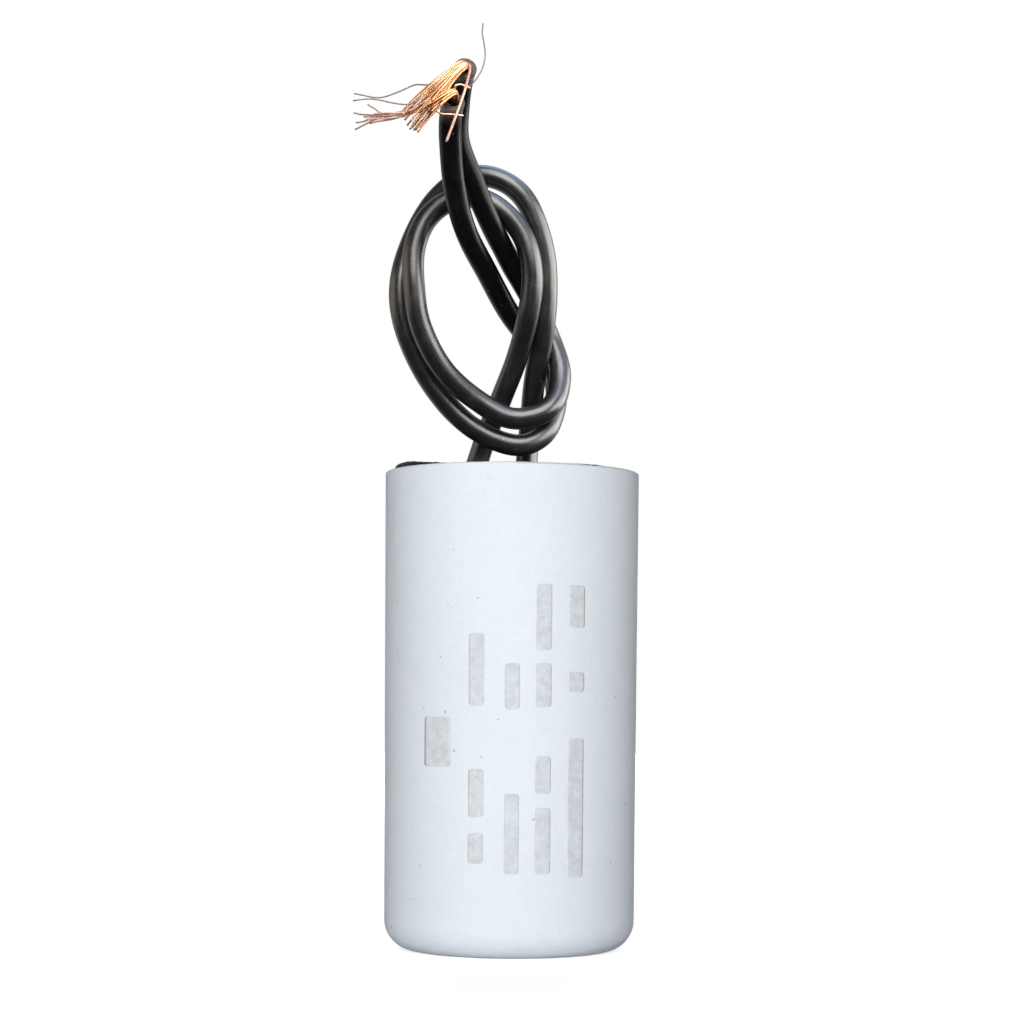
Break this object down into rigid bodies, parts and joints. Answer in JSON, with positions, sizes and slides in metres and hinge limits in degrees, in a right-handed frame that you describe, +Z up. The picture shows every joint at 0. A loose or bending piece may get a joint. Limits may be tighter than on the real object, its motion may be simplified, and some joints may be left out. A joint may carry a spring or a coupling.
{
  "type": "motor run capacitor",
  "caption": "Round plastic-cased motor run capacitor with an open top filled with black resin and insulated wire leads tied in a knot, their copper ends bare and splayed.",
  "frame": {"origin": "centre of the can's base, on the plane that it stands on", "axes": "+Z up the can's axis, towards the leads; -Y to the front, where the leads' ends point; +X to the right as seen from the front"},
  "size_m": [0.0385, 0.0461, 0.123],
  "materials": {
    "can_plastic": "satin, fine orange-peel",
    "epoxy": "cured resin, semi-gloss",
    "core_plastic": "plain",
    "metallised_film": "metallised, silvery",
    "clear_film": "clear film over silver",
    "sprayed_zinc": "rough sprayed metal",
    "solder": "dull solder",
    "lead_pvc": "satin PVC insulation",
    "tinned_copper": "tinned",
    "bare_copper": "bright bare copper strands"
  },
  "bodies": {
    "root": {"case": "can_plastic", "potting_resin": "epoxy", "winding_core": "core_plastic", "film_winding": "metallised_film", "winding_wrap": "clear_film", "top_end_spray": "sprayed_zinc", "bottom_end_spray": "sprayed_zinc", "top_solder_joint": "solder", "bottom_solder_joint": "solder", "top_lead": "lead_pvc", "top_lead_tail": "tinned_copper", "top_lead_strands": "bare_copper", "bottom_lead": "lead_pvc", "bottom_lead_tail": "tinned_copper", "bottom_lead_strands": "bare_copper"}
  },
  "joints": []
}
